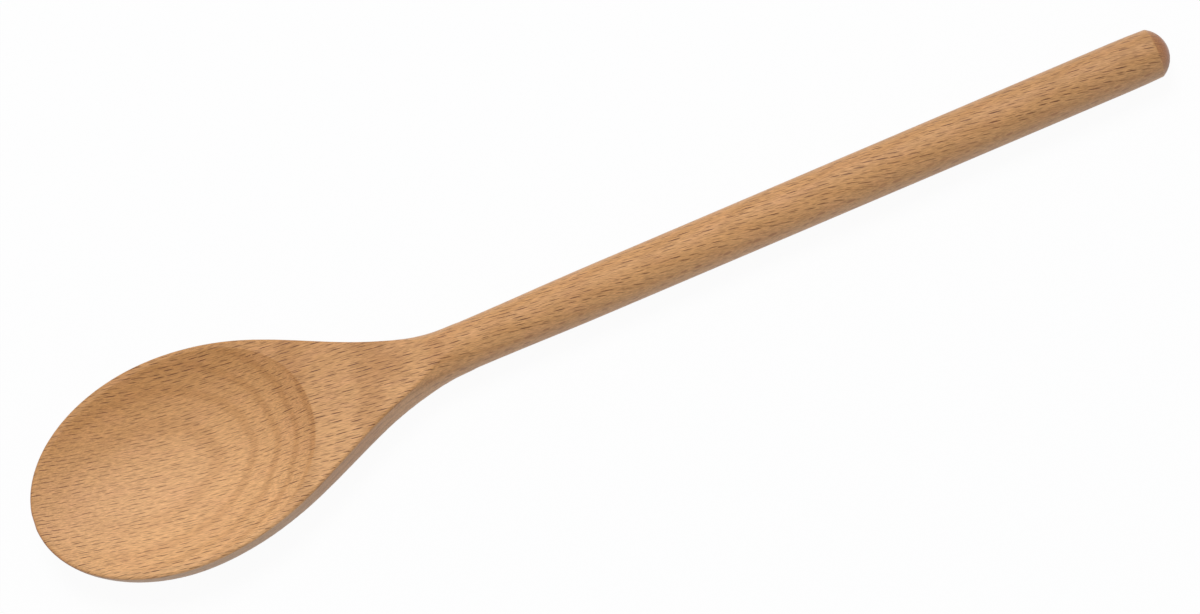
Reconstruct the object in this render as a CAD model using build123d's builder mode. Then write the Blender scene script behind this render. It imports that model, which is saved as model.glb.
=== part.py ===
from build123d import *
import math
import os

# Beech cooking spoon, carved and turned from one blank. Sizes are in millimetres.
# It lies on the table with its hollow up. X runs from the bowl's tip to the end of the
# handle, and the origin is on the table under the middle of the length.

# Overall
length = 300.0
handle_diameter = 12.7

# Blade: the flat head that carries the bowl, seen from above
bowl_width = 55.6
tip_flat = 4.0
tip_to_widest = 38.7
tip_to_neck = 115.4
neck_waist = 0.3
face_drop = 1.2

# Outline of the blade behind its widest point, as (share along, share across) to the neck
flare_shares = ((0.299, 0.181), (0.558, 0.598), (0.753, 0.890))

# Underside: thickness and upright wall of the edge, and where the keel is lowest
tip_thickness = 2.2
tip_wall = 0.9
widest_wall = 3.6
keel_past_widest = 5.0
tip_roundness_share = 0.15

# How far the corners of a section are drawn out, from a quarter circle at round_share to
# a square corner at 1
round_share = 2 - math.sqrt(2)
wall_share = 0.95
belly_share = 0.65
heel_share = 0.95

# Where the belly squares up into the heel, and the heel and shoulders turn round
belly_past_widest = 13.0
heel_to_neck = 20.0
heel_run = 20.0
shoulder_to_neck = 28.0
shoulder_run = 22.0

# Planed face: wood that stands above it in the blank, and its run-out into the neck
blank_rise = 6.0
runout_to_neck = 17.0
runout_end_to_neck = 2.3

# Handle
neck_run = 36.0
end_taper = 0.4
end_taper_run = 9.0
dome_height = 3.6

# Hollow of the bowl, with the land that it leaves of the face at the widest point and at the
# tip. It ends at a share of the way from the widest point to the neck.
hollow_depth = 7.4
rim_land = 1.7
tip_land = 1.3
deepest_past_widest = 3.5
hollow_end_share = 0.468

# Sanded edges
face_edge_radius = 0.8
rim_edge_radius = 0.6
dome_edge_radius = 0.8

# Sections in each loft, and how far cuts and hidden wood run past what shows
nose_sections = 13
flare_sections = 15
hollow_sections = 13
overrun = 5.0

half_width = bowl_width / 2
handle_radius = handle_diameter / 2
neck_radius = handle_radius - neck_waist
neck_top = handle_radius + neck_radius
face_height = handle_diameter - face_drop
runout_run = runout_to_neck - runout_end_to_neck
runout_rise = neck_top - face_height
runout_radius = (runout_run**2 + runout_rise**2) / (2 * runout_rise)
tip_x = -length / 2
tip_to_heel = tip_to_neck - heel_to_neck
tip_to_belly_end = tip_to_widest + belly_past_widest
tip_to_hollow_end = tip_to_widest + (tip_to_neck - tip_to_widest) * hollow_end_share
tip_to_deepest = tip_to_widest + deepest_past_widest
hollow_half_width = half_width - rim_land
hollow_radius = (hollow_half_width**2 + hollow_depth**2) / (2 * hollow_depth)


def blend(start, end, share):
    """Go smoothly from start to end as the share goes from 0 to 1."""
    share = min(max(share, 0), 1)
    return start + (end - start) * share * share * (3 - 2 * share)


def keel_height(x):
    """Height of the underside's middle line, x from the tip."""
    swell = math.sin(math.pi / 2 * min(x / (tip_to_widest + keel_past_widest), 1))
    fullness = math.sqrt(tip_roundness_share * swell + (1 - tip_roundness_share) * swell**2)
    neck_lift = blend(0, handle_radius - neck_radius, (x - tip_to_heel) / heel_to_neck)
    return (face_height - tip_thickness) * (1 - fullness) + neck_lift


def widest_height(x):
    """Height at which the section is widest, x from the tip."""
    swell = math.sin(math.pi / 2 * min(x / tip_to_widest, 1))
    wall = tip_wall + (widest_wall - tip_wall) * swell
    share = (x - tip_to_widest) / (tip_to_heel - tip_to_widest)
    return blend(face_height - wall, handle_radius, share)


def quarter(start, corner, end, fullness):
    """A rounded corner of a section: a cubic whose weights can give an exact quarter circle."""
    weight = (1 + math.sqrt(2)) / 3
    start, corner, end = Vector(start), Vector(corner), Vector(end)
    leave = start + (corner - start) * fullness
    arrive = end + (corner - end) * fullness
    Bezier(start, leave, arrive, end, weights=[1, weight, weight, 1])


def hollow_floor(x):
    """Height of the hollow's middle line: one arc towards the tip, one towards the neck."""
    if x < tip_to_deepest:
        reach = tip_to_deepest - tip_land
    else:
        reach = tip_to_hollow_end - tip_to_deepest
    radius = (reach**2 + hollow_depth**2) / (2 * hollow_depth)
    return face_height - hollow_depth + radius - math.sqrt(radius**2 - (x - tip_to_deepest) ** 2)


# Places of the blade's sections along half its outline, seen from above, with x from the tip:
# a half ellipse to the widest point, cut square by the tip's flat, and then the flare
stations = []
nose_angle = math.asin(tip_flat / bowl_width)
for step in range(nose_sections):
    angle = nose_angle + (math.pi / 2 - nose_angle) * step / nose_sections
    x = tip_to_widest * (1 - math.cos(angle) / math.cos(nose_angle))
    stations.append((x, half_width * math.sin(angle)))
with BuildLine() as flare:
    Spline(
        (tip_to_widest, half_width),
        *(
            (
                tip_to_widest + (tip_to_neck - tip_to_widest) * along,
                half_width - (half_width - neck_radius) * across,
            )
            for along, across in flare_shares
        ),
        (tip_to_neck, neck_radius),
        tangents=((1, 0), (1, 0)),
        tangent_scalars=(1, 1),
    )
for step in range(flare_sections):
    point = flare.line @ (step / (flare_sections - 1))
    stations.append((point.X, point.Y))

# Blade: half of it is lofted from sections that stand at the stations, then mirrored.
# A section goes from a shallow belly at the bowl through a squared heel to a round neck.
with BuildPart() as blade:
    for x, half in stations:
        side, keel = widest_height(x), keel_height(x)
        to_heel = (x - tip_to_belly_end) / (tip_to_heel - tip_to_belly_end)
        past_heel = (x - tip_to_heel) / heel_run
        past_shoulder = (x - tip_to_neck + shoulder_to_neck) / shoulder_run
        top = blend(face_height + blank_rise, neck_top, past_shoulder)
        top_fullness = blend(wall_share, round_share, past_shoulder)
        keel_fullness = blend(blend(belly_share, heel_share, to_heel), round_share, past_heel)
        with BuildSketch(Plane.YZ.offset(tip_x + x)):
            with BuildLine():
                quarter((0, keel), (half, keel), (half, side), keel_fullness)
                quarter((half, side), (half, top), (0, top), top_fullness)
                Polyline((0, top), (-overrun, top), (-overrun, keel), (0, keel))
            make_face()
    loft()
    split(bisect_by=Plane.XZ, keep=Keep.BOTTOM)
    mirror(about=Plane.XZ)

    # Face: planed flat over the blade, then swept up through the top of the neck
    runout_x = tip_x + tip_to_neck - runout_to_neck
    runout_end_x = runout_x + math.sqrt(2 * runout_radius * blank_rise - blank_rise**2)
    blank_top = face_height + blank_rise
    with BuildSketch(Plane.XZ):
        with BuildLine():
            Line((tip_x - overrun, face_height), (runout_x, face_height))
            RadiusArc((runout_x, face_height), (runout_end_x, blank_top), -runout_radius)
            Polyline(
                (runout_end_x, blank_top),
                (runout_end_x, blank_top + overrun),
                (tip_x - overrun, blank_top + overrun),
                (tip_x - overrun, face_height),
            )
        make_face()
    extrude(amount=half_width + overrun, both=True, mode=Mode.SUBTRACT)

    # The edge round the face is one loop, without the line where the run-out begins
    planed_face = blade.faces().filter_by(Axis.Z).sort_by(Axis.Z)[-1]
    runout_face = blade.faces().filter_by(GeomType.CYLINDER)[0]
    face_edge = (planed_face.edges() + runout_face.edges()).filter_by(
        lambda edge: edge.geom_type != GeomType.LINE or edge.center().X < runout_x - overrun
    )
    fillet(face_edge, radius=face_edge_radius)

# Handle: turned, swelling from the neck in two arcs, with a sanded end and a domed tip
with BuildPart() as handle:
    neck_x = tip_x + tip_to_neck
    swell_middle = (neck_x + neck_run / 2, (neck_top + handle_diameter) / 2)
    swell_radius = (neck_run**2 + neck_waist**2) / (4 * neck_waist)
    rim_x = -tip_x - dome_height
    rim_radius = handle_radius - end_taper / 2
    dome_radius = (rim_radius**2 + dome_height**2) / (2 * dome_height)
    with BuildSketch(Plane.XZ):
        with BuildLine():
            Line((neck_x, handle_radius), (neck_x, neck_top))
            RadiusArc((neck_x, neck_top), swell_middle, -swell_radius)
            RadiusArc(swell_middle, (neck_x + neck_run, handle_diameter), swell_radius)
            Line((neck_x + neck_run, handle_diameter), (rim_x - end_taper_run, handle_diameter))
            Spline(
                (rim_x - end_taper_run, handle_diameter),
                (rim_x, handle_radius + rim_radius),
                tangents=((1, 0), (end_taper_run, -end_taper)),
            )
            RadiusArc((rim_x, handle_radius + rim_radius), (-tip_x, handle_radius), dome_radius)
            Line((-tip_x, handle_radius), (neck_x, handle_radius))
        make_face()
    revolve(axis=Axis((0, 0, handle_radius), (1, 0, 0)))
    dome = handle.faces().filter_by(GeomType.SPHERE)[0]
    fillet(dome.edges().filter_by(GeomType.CIRCLE).sort_by(Axis.X)[0], radius=dome_edge_radius)

# Spoon: the blade and the handle are one piece of wood, with the hollow cut into the face
with BuildPart() as spoon:
    add(blade.part)
    add(handle.part)
    cutter_top = face_height + half_width
    for step in range(hollow_sections):
        x = (tip_to_hollow_end + 2 * overrun) * step / (hollow_sections - 1) - overrun
        floor = hollow_floor(x)
        edge = floor + hollow_radius - math.sqrt(hollow_radius**2 - half_width**2)
        with BuildSketch(Plane.YZ.offset(tip_x + x)):
            with BuildLine():
                ThreePointArc((-half_width, edge), (0, floor), (half_width, edge))
                Polyline(
                    (half_width, edge),
                    (half_width, cutter_top),
                    (-half_width, cutter_top),
                    (-half_width, edge),
                )
            make_face()
    loft(mode=Mode.SUBTRACT)
    face = spoon.faces().filter_by(GeomType.PLANE).filter_by(Axis.Z).sort_by(Axis.Z)[-1]
    fillet(face.inner_wires()[0].edges(), radius=rim_edge_radius)

spoon.part.label = "spoon"
os.makedirs("parts", exist_ok=True)
export_step(spoon.part, "parts/spoon.step")
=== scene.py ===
import bpy
import math
from mathutils import Matrix, Vector

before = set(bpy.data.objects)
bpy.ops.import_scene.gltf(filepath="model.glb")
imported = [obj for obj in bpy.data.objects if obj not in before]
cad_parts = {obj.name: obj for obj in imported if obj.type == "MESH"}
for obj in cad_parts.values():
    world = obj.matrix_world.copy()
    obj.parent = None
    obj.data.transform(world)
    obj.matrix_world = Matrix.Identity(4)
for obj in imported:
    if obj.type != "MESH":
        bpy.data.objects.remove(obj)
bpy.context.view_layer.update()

# Lengths are in metres, unless a name ends in _MM or _mm
MM = 0.001

# Directions of the spoon as it lies
ALONG = (1, 0, 0)
ACROSS = (0, 1, 0)
UP = (0, 0, 1)

# Camera: it stands over the bowl, on the side away from the light, and is rolled so that
# the handle rises to the right
CAMERA_PLACE = Vector((0.035819, -0.253071, 0.670922))
CAMERA_AIM = Vector((-0.001115, -0.004386, 0.006353))
CAMERA_ROLL = math.radians(-30.94)
CAMERA_LENS_MM = 87.29

# Light: a wide soft lamp overhead that leans to the far side of the spoon, and an even white
# room. Together they light an upward surface at a level of about 1.
LAMP_PLACE = Vector((0.15, 0.592, 1.269))
LAMP_AIM = Vector((0, 0, 0.006))
LAMP_SIZE = 0.6
LAMP_POWER = 12.1
ROOM_STRENGTH = 0.45

# Plain white to the eye, as a colour and a strength
WHITE = (1, 1, 1, 1)
WHITE_STRENGTH = 1.0

# Floor: pale paper, and the share of it that is plain white to the eye
FLOOR_SIZE = 6.0
FLOOR_COLOUR = "#E6E6EA"
FLOOR_WHITE_SHARE = 0.95

# Colours of bare beech: the pale wood low in the blank and the deeper wood at its top and far
# side, which is partly painted shade, the darker late wood of the rings, also used for painted
# shade at the neck, a pinker tone in patches, the burnt brown of the rays' ends, the same rays
# seen broadside, the grey of the white floor's reflection painted on upright sides, and the
# tone that end grain is multiplied by
PALE_WOOD = "#DBA771"
DEEP_WOOD_AND_SHADE = "#BD8850"
LATE_WOOD_AND_SHADE = "#A0692F"
PINK_WOOD = "#D0936C"
RAY_END = "#572A09"
RAY_SIDE = "#A9754A"
SIDE_FLOOR_REFLECTION = "#B09A86"
END_GRAIN = "#CFAA86"

# Noise makes the wood uneven. It goes from 0 to 1, and most of it lies in this range.
NOISE_RANGE = (0.3, 0.7)
NOISE_DETAIL = 2.0
NOISE_ROUGHNESS = 0.6

# How the blank was cut: seen from above, the fibres run clockwise of the handle, and they sway
# in slow waves. Sizes in the wood go along the fibres, across them and through the blank.
FIBRE_TURN = math.radians(-9)
WAVE_MM = (45, 20, 20)
WAVE_DETAIL = 1.0
WAVE_SWAY_MM = 3.0

# Body colour: it deepens upwards and to the far side, from one height to another, and has
# pinker patches. The deepening is partly the wood's own tone and partly painted shade on the
# hollow's far wall, which turns away from the lamp. A lean is how many millimetres a layer
# falls for each one along the spoon and for each one across it.
TONE_AND_SHADE_LEAN = (0, 0.35)
TONE_FROM_MM = 2.5
TONE_TO_MM = 17
PATCH_MM = (9, 4, 6)
PATCH_RANGE = (0.45, 0.75)
PINK_SHARE = 0.22

# Rings: years 2.5 mm thick, in layers that fall towards the handle and stray by a share of a
# year. One stands at this height over the middle of the spoon, so that it comes out just
# inside the end of the hollow, towards the neck, where its dark line is also painted shade on
# the hollow's steep end wall.
RING_LEAN = (0.12, -0.03)
RING_HEIGHT_MM = 1.85
RING_SPACING_MM = 2.5
RING_STRAY_MM = (22, 9, 9)
RING_STRAY_SHARE = 0.6

# Rings are faint at the tip and clear towards the neck, partly as painted shade on the
# hollow's steep end wall there, and only this share of them is left on the handle. The places
# are along the spoon.
RING_PLACES_MM = (-140, -75)
RING_SHARES = (0.08, 0.34)
HANDLE_PLACES_MM = (-50, -15)
HANDLE_RING_SHARE = 0.45

# Neck shade: a dark patch of painted shade, in the colour of the late wood, where the blade's
# flat face rises into the neck. It has a place in the blank, a reach each way, a darkest part
# that is a share of the reach, and a depth of colour.
NECK_SHADE_MM = (-54, 1, 11.5)
NECK_SHADE_REACH_MM = (7, 6, 6)
NECK_SHADE_CORE_SHARE = 0.2
NECK_SHADE_SHARE = 0.4

# Fibres and streaks, and how much they darken and lighten the wood. Real fibres are about
# 0.02 mm wide, too fine to show, so they are drawn in bundles ten times as wide.
FIBRE_MM = (2.0, 0.2, 0.3)
FIBRE_TONES = (0.76, 1.24)
STREAK_MM = (14, 0.9, 1.5)
STREAK_TONES = (0.97, 1.03)

# The wood darkens a little towards the end of the handle
END_PLACES_MM = (40, 150)
END_TONE = 0.86

# Rays: cut flat, they are dashes, one in each cell of wood, in rows that step back by a share
# of a cell. Real ones are about 0.15 mm wide, and they are drawn wider, so that they show.
# On the sides of the spoon they are cut broadside, as taller flecks.
RAY_STEP_SHARE = 0.4
LONG_RAY_CELL_MM = (4.0, 1.0)
LONG_RAY_MM = (4.2, 0.3)
SHORT_RAY_CELL_MM = (2.7, 0.7)
SHORT_RAY_MM = (2.4, 0.22)
SHORT_RAY_SHARE = 0.5
SIDE_RAY_CELL_MM = (4.0, 1.7)
SIDE_RAY_MM = (3.0, 0.9)

# How far a ray strays in its cell, how much smaller the smallest is, how much of it is at full
# depth before it fades, and how deep the faintest is
RAY_STRAY_SHARE = 0.65
RAY_SMALLER_SHARE = 0.4
RAY_CORE_SHARE = 0.62
RAY_FAINTEST_SHARE = 0.4

# Dashes are clear at the top of the blank, and this share of them is left low in it
RAY_HEIGHTS_MM = (7, 11.5)
LOW_RAY_SHARE = 0.72

# How squarely a surface faces a direction, from 0 edge on to 1 square, where a look starts and
# where it is full. Upright sides are the ones that face up least.
FLAT_CUT = (0.45, 0.85)
SIDE_CUT = (0.6, 0.95)
END_CUT = (0.25, 0.9)
UPRIGHT_CUT = (0.6, 0.1)

# Upright sides are painted greyer, most of all on the blade: a painted reflection of the white floor
# and its cool bounce light
SIDE_REFLECTION_PLACES_MM = (-90, -55)
SIDE_REFLECTION_SHARES = (0.6, 0.28)

# Surface: matt, and a little smoother on the fibres that stand proud. Sanding leaves a fuzz of
# fibre ends, which makes the wood paler where it is seen edge on.
ROUGHNESSES = (0.66, 0.54)
RELIEF_MM = 0.04
RELIEF_STRENGTH = 0.5
WOOD_IOR = 1.5
SHEEN = 0.32
SHEEN_ROUGHNESS = 0.4

# Input and output numbers of a colour Mix node
MIX_FACTOR, MIX_A, MIX_B, MIXED = 0, 6, 7, 2


def linear(hex_colour):
    """An sRGB hex colour as the linear colour that a shader takes, by the sRGB standard."""
    channels = [int(hex_colour[i:i + 2], 16) / 255 for i in (1, 3, 5)]
    low = [channel / 12.92 for channel in channels]
    high = [((channel + 0.055) / 1.055) ** 2.4 for channel in channels]
    rgb = [a if c <= 0.04045 else b for a, b, c in zip(low, high, channels)]
    return (*rgb, 1.0)


def add_camera():
    camera = bpy.data.objects.new("camera", bpy.data.cameras.new("camera"))
    away = (CAMERA_PLACE - CAMERA_AIM).normalized()
    turn = away.to_track_quat("Z", "Y").to_matrix() @ Matrix.Rotation(CAMERA_ROLL, 3, "Z")
    camera.matrix_world = Matrix.LocRotScale(CAMERA_PLACE, turn, None)
    camera.data.lens = CAMERA_LENS_MM
    bpy.context.scene.collection.objects.link(camera)
    bpy.context.scene.camera = camera


add_camera()
bpy.context.scene.view_settings.view_transform = "Standard"


def empty_tree(owner):
    """The node tree of a new material or world, with nothing in it yet."""
    owner.use_nodes = True
    owner.node_tree.nodes.clear()
    return owner.node_tree


def node(tree, kind, inputs=None, **settings):
    """Add a node, give it its settings, and set or link its inputs."""
    new = tree.nodes.new(kind)
    for name, value in settings.items():
        setattr(new, name, value)
    for name, value in (inputs or {}).items():
        if isinstance(value, bpy.types.NodeSocket):
            tree.links.new(value, new.inputs[name])
        else:
            new.inputs[name].default_value = value
    return new


def seen_directly(tree):
    """1 for what the camera, mirrors and clear things see, and 0 for light on the object."""
    path = node(tree, "ShaderNodeLightPath")
    mirrored = node(tree, "ShaderNodeMath", {0: path.outputs["Is Camera Ray"],
                                             1: path.outputs["Is Glossy Ray"]}, operation="ADD")
    seen = node(tree, "ShaderNodeMath", {0: mirrored.outputs[0],
                                         1: path.outputs["Is Transmission Ray"]},
                operation="ADD", use_clamp=True)
    return seen.outputs[0]


def add_room():
    """An even white room, which looks plain white and lights the object at a lower level."""
    world = bpy.data.worlds.new("white_room")
    tree = empty_tree(world)
    light = node(tree, "ShaderNodeBackground", {"Color": WHITE, "Strength": ROOM_STRENGTH})
    white = node(tree, "ShaderNodeBackground", {"Color": WHITE, "Strength": WHITE_STRENGTH})
    mixed = node(tree, "ShaderNodeMixShader", {0: seen_directly(tree), 1: light.outputs[0],
                                               2: white.outputs[0]})
    node(tree, "ShaderNodeOutputWorld", {"Surface": mixed.outputs[0]})
    bpy.context.scene.world = world


def add_lamp():
    lamp = bpy.data.objects.new("soft_lamp", bpy.data.lights.new("soft_lamp", "AREA"))
    lamp.data.size = LAMP_SIZE
    lamp.data.energy = LAMP_POWER
    turn = (LAMP_PLACE - LAMP_AIM).to_track_quat("Z", "Y").to_matrix()
    lamp.matrix_world = Matrix.LocRotScale(LAMP_PLACE, turn, None)
    bpy.context.scene.collection.objects.link(lamp)


def floor_material():
    """Matt white paper. Most of it is plain white to the eye, and the rest keeps the shadow."""
    material = bpy.data.materials.new("matt_white_paper")
    tree = empty_tree(material)
    paper = node(tree, "ShaderNodeBsdfDiffuse", {"Color": linear(FLOOR_COLOUR)})
    white = node(tree, "ShaderNodeEmission", {"Color": WHITE, "Strength": WHITE_STRENGTH})
    share = node(tree, "ShaderNodeMath", {0: seen_directly(tree), 1: FLOOR_WHITE_SHARE},
                 operation="MULTIPLY")
    mixed = node(tree, "ShaderNodeMixShader", {0: share.outputs[0], 1: paper.outputs[0],
                                               2: white.outputs[0]})
    node(tree, "ShaderNodeOutputMaterial", {"Surface": mixed.outputs[0]})
    return material


def add_floor():
    half = FLOOR_SIZE / 2
    mesh = bpy.data.meshes.new("floor")
    corners = [(-half, -half, 0), (half, -half, 0), (half, half, 0), (-half, half, 0)]
    mesh.from_pydata(corners, [], [(0, 1, 2, 3)])
    mesh.materials.append(floor_material())
    floor = bpy.data.objects.new("floor", mesh)
    bpy.context.scene.collection.objects.link(floor)


add_room()
add_lamp()
add_floor()


def grain(tree, wood, size_mm, detail=NOISE_DETAIL):
    """Uneven wood, from 0 to 1, in grains of a size along, across and through the blank."""
    in_grains = node(tree, "ShaderNodeVectorMath", {0: wood, 1: [1 / mm for mm in size_mm]},
                     operation="MULTIPLY")
    noise = node(tree, "ShaderNodeTexNoise", {"Vector": in_grains.outputs[0], "Scale": 1.0,
                                              "Detail": detail, "Roughness": NOISE_ROUGHNESS})
    return noise.outputs["Fac"]


def along_the_fibres(tree, blank):
    """Millimetres along the fibres, across them and upwards, where the fibres wave gently."""
    straight = node(tree, "ShaderNodeVectorRotate", {"Vector": blank, "Angle": -FIBRE_TURN},
                    rotation_type="Z_AXIS").outputs[0]
    wave = grain(tree, straight, WAVE_MM, detail=WAVE_DETAIL)
    sway = node(tree, "ShaderNodeVectorMath", {0: (0, WAVE_SWAY_MM, 0), "Scale": wave},
                operation="SCALE")
    return node(tree, "ShaderNodeVectorMath", {0: straight, 1: sway.outputs[0]},
                operation="ADD").outputs[0]


def layer_height(tree, blank, lean):
    """Height in millimetres through layers that lean along and across the spoon."""
    return node(tree, "ShaderNodeVectorMath", {0: blank, 1: (*lean, 1)},
                operation="DOT_PRODUCT").outputs["Value"]


def facing(tree, direction, cut):
    """1 where the surface faces along a direction, either way, fading to 0 within a cut's limits."""
    start, full = cut
    normal = node(tree, "ShaderNodeTexCoord").outputs["Normal"]
    along = node(tree, "ShaderNodeVectorMath", {0: normal, 1: direction}, operation="DOT_PRODUCT")
    size = node(tree, "ShaderNodeMath", {0: along.outputs["Value"]}, operation="ABSOLUTE")
    return node(tree, "ShaderNodeMapRange", {"Value": size.outputs[0], "From Min": start,
                                             "From Max": full},
                interpolation_type="SMOOTHSTEP").outputs[0]


def growth_rings(tree, blank):
    """Soft dark lines where each year's wood ends."""
    years = node(tree, "ShaderNodeMapRange", {"Value": layer_height(tree, blank, RING_LEAN),
                                              "From Min": RING_HEIGHT_MM,
                                              "From Max": RING_HEIGHT_MM + RING_SPACING_MM},
                 clamp=False)
    strayed = node(tree, "ShaderNodeMath", {0: grain(tree, blank, RING_STRAY_MM),
                                            1: RING_STRAY_SHARE, 2: years.outputs[0]},
                   operation="MULTIPLY_ADD")
    angle = node(tree, "ShaderNodeMath", {0: strayed.outputs[0], 1: math.tau},
                 operation="MULTIPLY")

    # The noise is a half on average, which is taken off so that the rings stray both ways
    middle = RING_STRAY_SHARE / 2 * math.tau
    turned =node(tree, "ShaderNodeMath", {0: angle.outputs[0], 1: middle}, operation="SUBTRACT")
    wave = node(tree, "ShaderNodeMath", {0: turned.outputs[0]}, operation="COSINE")
    return node(tree, "ShaderNodeMapRange", {"Value": wave.outputs[0]},
                interpolation_type="SMOOTHSTEP").outputs[0]


def stepped(tree, place, step):
    """A place moved along the fibres by a step for each row that it lies across them."""
    row = node(tree, "ShaderNodeSeparateXYZ", {0: place}).outputs["Y"]
    shift = node(tree, "ShaderNodeVectorMath", {0: (step, 0, 0), "Scale": row}, operation="SCALE")
    return node(tree, "ShaderNodeVectorMath", {0: place, 1: shift.outputs[0]},
                operation="ADD").outputs[0]


def rays(tree, wood, cell_mm, ray_mm):
    """Cut rays: short dashes along the fibres, one in each cell, of mixed size and depth."""
    in_cells = node(tree, "ShaderNodeVectorMath",
                    {0: wood, 1: (1 / cell_mm[0], 1 / cell_mm[1], 0)}, operation="MULTIPLY")
    cells = stepped(tree, in_cells.outputs[0], RAY_STEP_SHARE)
    spots = node(tree, "ShaderNodeTexVoronoi", {"Vector": cells, "Scale": 1.0,
                                                "Randomness": RAY_STRAY_SHARE},
                 voronoi_dimensions="2D")
    away = node(tree, "ShaderNodeVectorMath", {0: cells, 1: spots.outputs["Position"]},
                operation="SUBTRACT")
    in_rays = node(tree, "ShaderNodeVectorMath",
                   {0: stepped(tree, away.outputs[0], -RAY_STEP_SHARE),
                    1: (2 * cell_mm[0] / ray_mm[0], 2 * cell_mm[1] / ray_mm[1], 0)},
                   operation="MULTIPLY")
    distance = node(tree, "ShaderNodeVectorMath", {0: in_rays.outputs[0]}, operation="LENGTH")
    chance = node(tree, "ShaderNodeSeparateColor", {0: spots.outputs["Color"]})
    shrunk = node(tree, "ShaderNodeMath", {0: chance.outputs[0], 1: RAY_SMALLER_SHARE,
                                           2: distance.outputs["Value"]},
                  operation="MULTIPLY_ADD")
    dash = node(tree, "ShaderNodeMapRange", {"Value": shrunk.outputs[0], "From Min": 1.0,
                                             "From Max": RAY_CORE_SHARE},
                interpolation_type="SMOOTHSTEP")
    depth = node(tree, "ShaderNodeMapRange", {"Value": chance.outputs[1],
                                              "To Min": RAY_FAINTEST_SHARE})
    return node(tree, "ShaderNodeMath", {0: dash.outputs[0], 1: depth.outputs[0]},
                operation="MULTIPLY").outputs[0]


def ray_dashes(tree, blank, wood):
    """Ends of the rays, where the blank was cut flat: long dashes, and fainter short ones."""
    long_ends = rays(tree, wood, LONG_RAY_CELL_MM, LONG_RAY_MM)
    short_ends = rays(tree, wood, SHORT_RAY_CELL_MM, SHORT_RAY_MM)
    ends = node(tree, "ShaderNodeMath", {0: short_ends, 1: SHORT_RAY_SHARE, 2: long_ends},
                operation="MULTIPLY_ADD", use_clamp=True)
    height = node(tree, "ShaderNodeSeparateXYZ", {0: blank}).outputs["Z"]
    clearness = node(tree, "ShaderNodeMapRange", {"Value": height, "From Min": RAY_HEIGHTS_MM[0],
                                                  "From Max": RAY_HEIGHTS_MM[1],
                                                  "To Min": LOW_RAY_SHARE})
    clear_cut = node(tree, "ShaderNodeMath", {0: facing(tree, UP, FLAT_CUT),
                                              1: clearness.outputs[0]}, operation="MULTIPLY")
    return node(tree, "ShaderNodeMath", {0: ends.outputs[0], 1: clear_cut.outputs[0]},
                operation="MULTIPLY").outputs[0]


def body_colour_and_shade(tree, blank, wood):
    """Pale wood that deepens upwards and to the far side, partly as painted shade on the hollow's
    far wall, with pinker patches.
    """
    depth = node(tree, "ShaderNodeMapRange", {"Value": layer_height(tree, blank, TONE_AND_SHADE_LEAN),
                                              "From Min": TONE_FROM_MM, "From Max": TONE_TO_MM})
    tone = node(tree, "ShaderNodeMix", {MIX_FACTOR: depth.outputs[0],
                                        MIX_A: linear(PALE_WOOD), MIX_B: linear(DEEP_WOOD_AND_SHADE)},
                data_type="RGBA")
    pink = node(tree, "ShaderNodeMapRange", {"Value": grain(tree, wood, PATCH_MM),
                                             "From Min": PATCH_RANGE[0],
                                             "From Max": PATCH_RANGE[1], "To Max": PINK_SHARE})
    return node(tree, "ShaderNodeMix", {MIX_FACTOR: pink.outputs[0], MIX_A: tone.outputs[MIXED],
                                        MIX_B: linear(PINK_WOOD)},
                data_type="RGBA").outputs[MIXED]


def with_rings(tree, blank, colour):
    """Growth rings, clearest towards the neck, where they are also painted shade on the hollow's
    steep end wall, and fainter on the round handle.
    """
    place = node(tree, "ShaderNodeSeparateXYZ", {0: blank}).outputs["X"]
    to_neck = node(tree, "ShaderNodeMapRange", {"Value": place, "From Min": RING_PLACES_MM[0],
                                                "From Max": RING_PLACES_MM[1],
                                                "To Min": RING_SHARES[0],
                                                "To Max": RING_SHARES[1]})
    on_handle = node(tree, "ShaderNodeMapRange", {"Value": place, "From Min": HANDLE_PLACES_MM[0],
                                                  "From Max": HANDLE_PLACES_MM[1],
                                                  "To Min": 1.0, "To Max": HANDLE_RING_SHARE})
    clearness = node(tree, "ShaderNodeMath", {0: to_neck.outputs[0], 1: on_handle.outputs[0]},
                     operation="MULTIPLY")
    share = node(tree, "ShaderNodeMath", {0: growth_rings(tree, blank), 1: clearness.outputs[0]},
                 operation="MULTIPLY")
    return node(tree, "ShaderNodeMix", {MIX_FACTOR: share.outputs[0], MIX_A: colour,
                                        MIX_B: linear(LATE_WOOD_AND_SHADE)},
                data_type="RGBA").outputs[MIXED]


def with_neck_shade(tree, blank, colour):
    """Painted shade: the wood darkens where the blade's flat face rises into the neck."""
    to_neck_shade = node(tree, "ShaderNodeVectorMath", {0: blank, 1: NECK_SHADE_MM}, operation="SUBTRACT")
    in_reach = node(tree, "ShaderNodeVectorMath", {0: to_neck_shade.outputs[0],
                                                   1: [1 / mm for mm in NECK_SHADE_REACH_MM]},
                    operation="MULTIPLY")
    distance = node(tree, "ShaderNodeVectorMath", {0: in_reach.outputs[0]}, operation="LENGTH")
    share = node(tree, "ShaderNodeMapRange", {"Value": distance.outputs["Value"], "From Min": 1.0,
                                              "From Max": NECK_SHADE_CORE_SHARE, "To Max": NECK_SHADE_SHARE},
                 interpolation_type="SMOOTHSTEP")
    return node(tree, "ShaderNodeMix", {MIX_FACTOR: share.outputs[0], MIX_A: colour,
                                        MIX_B: linear(LATE_WOOD_AND_SHADE)},
                data_type="RGBA").outputs[MIXED]


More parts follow.
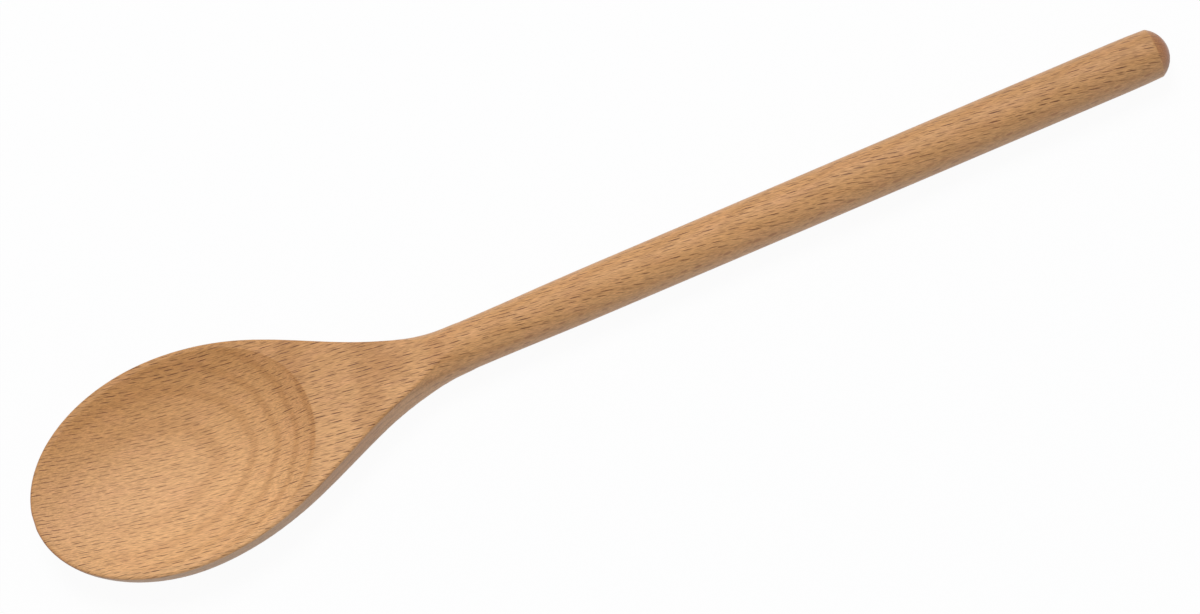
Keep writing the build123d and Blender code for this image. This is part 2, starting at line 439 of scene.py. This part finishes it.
def with_fibres(tree, blank, wood, fibres, colour):
    """Fibres and streaks, lighter and darker than the body, and a darker end of the handle."""
    fine = node(tree, "ShaderNodeMapRange", {"Value": fibres, "From Min": NOISE_RANGE[0],
                                             "From Max": NOISE_RANGE[1],
                                             "To Min": FIBRE_TONES[0], "To Max": FIBRE_TONES[1]})
    broad = node(tree, "ShaderNodeMapRange", {"Value": grain(tree, wood, STREAK_MM),
                                              "From Min": NOISE_RANGE[0],
                                              "From Max": NOISE_RANGE[1],
                                              "To Min": STREAK_TONES[0],
                                              "To Max": STREAK_TONES[1]})
    uneven = node(tree, "ShaderNodeMath", {0: fine.outputs[0], 1: broad.outputs[0]},
                  operation="MULTIPLY")
    place = node(tree, "ShaderNodeSeparateXYZ", {0: blank}).outputs["X"]
    handle_end = node(tree, "ShaderNodeMapRange", {"Value": place, "From Min": END_PLACES_MM[0],
                                                   "From Max": END_PLACES_MM[1],
                                                   "To Min": 1.0, "To Max": END_TONE})
    light = node(tree, "ShaderNodeMath", {0: uneven.outputs[0], 1: handle_end.outputs[0]},
                 operation="MULTIPLY")
    return node(tree, "ShaderNodeVectorMath", {0: colour, "Scale": light.outputs[0]},
                operation="SCALE").outputs[0]


def with_rays(tree, wood, dashes, colour):
    """Rays: dark dashes where they are cut across, and taller brown flecks on the sides."""
    dashed = node(tree, "ShaderNodeMix", {MIX_FACTOR: dashes, MIX_A: colour,
                                          MIX_B: linear(RAY_END)}, data_type="RGBA")
    on_its_side = node(tree, "ShaderNodeVectorRotate", {"Vector": wood, "Angle": math.pi / 2},
                       rotation_type="X_AXIS").outputs[0]
    flecks = rays(tree, on_its_side, SIDE_RAY_CELL_MM, SIDE_RAY_MM)
    share = node(tree, "ShaderNodeMath", {0: flecks, 1: facing(tree, ACROSS, SIDE_CUT)},
                 operation="MULTIPLY")
    return node(tree, "ShaderNodeMix", {MIX_FACTOR: share.outputs[0],
                                        MIX_A: dashed.outputs[MIXED], MIX_B: linear(RAY_SIDE)},
                data_type="RGBA").outputs[MIXED]


def with_side_reflection_and_end_grain(tree, blank, colour):
    """Upright sides painted greyer, a painted reflection of the white floor, and darker end grain at
    the bowl's tip and the handle's end.
    """
    place = node(tree, "ShaderNodeSeparateXYZ", {0: blank}).outputs["X"]
    # Painted reflection: upright sides take a grey that stands in for the white floor seen in them
    side_reflection = node(tree, "ShaderNodeMapRange", {"Value": place, "From Min": SIDE_REFLECTION_PLACES_MM[0],
                                             "From Max": SIDE_REFLECTION_PLACES_MM[1],
                                             "To Min": SIDE_REFLECTION_SHARES[0], "To Max": SIDE_REFLECTION_SHARES[1]})
    share = node(tree, "ShaderNodeMath", {0: facing(tree, UP, UPRIGHT_CUT), 1: side_reflection.outputs[0]},
                 operation="MULTIPLY")
    side_reflected = node(tree, "ShaderNodeMix", {MIX_FACTOR: share.outputs[0], MIX_A: colour,
                                         MIX_B: linear(SIDE_FLOOR_REFLECTION)}, data_type="RGBA")
    return node(tree, "ShaderNodeMix", {MIX_FACTOR: facing(tree, ALONG, END_CUT),
                                        MIX_A: side_reflected.outputs[MIXED], MIX_B: linear(END_GRAIN)},
                data_type="RGBA", blend_type="MULTIPLY").outputs[MIXED]


def beech_material():
    """Beech, planed, turned and fine sanded, with no oil: matt and warm, covered in ray dashes."""
    material = bpy.data.materials.new("sanded_beech")
    tree = empty_tree(material)
    place = node(tree, "ShaderNodeTexCoord").outputs["Object"]
    blank = node(tree, "ShaderNodeVectorMath", {0: place, "Scale": 1 / MM},
                 operation="SCALE").outputs[0]
    wood = along_the_fibres(tree, blank)
    fibres = grain(tree, wood, FIBRE_MM)
    dashes = ray_dashes(tree, blank, wood)

    colour = body_colour_and_shade(tree, blank, wood)
    colour = with_rings(tree, blank, colour)
    colour = with_neck_shade(tree, blank, colour)
    colour = with_fibres(tree, blank, wood, fibres, colour)
    colour = with_rays(tree, wood, dashes, colour)
    colour = with_side_reflection_and_end_grain(tree, blank, colour)

    # Sanding leaves the fibres slightly proud and the rays slightly sunk
    roughness = node(tree, "ShaderNodeMapRange", {"Value": fibres, "From Min": NOISE_RANGE[0],
                                                  "From Max": NOISE_RANGE[1],
                                                  "To Min": ROUGHNESSES[0],
                                                  "To Max": ROUGHNESSES[1]})
    relief = node(tree, "ShaderNodeMath", {0: fibres, 1: dashes}, operation="SUBTRACT")
    bump = node(tree, "ShaderNodeBump", {"Height": relief.outputs[0],
                                         "Strength": RELIEF_STRENGTH, "Distance": RELIEF_MM * MM})
    beech = node(tree, "ShaderNodeBsdfPrincipled",
                 {"Base Color": colour, "Roughness": roughness.outputs[0], "IOR": WOOD_IOR,
                  "Sheen Weight": SHEEN, "Sheen Roughness": SHEEN_ROUGHNESS,
                  "Normal": bump.outputs[0]})
    node(tree, "ShaderNodeOutputMaterial", {"Surface": beech.outputs[0]})
    return material


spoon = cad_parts["spoon"]
spoon.data.materials.clear()
spoon.data.materials.append(beech_material())
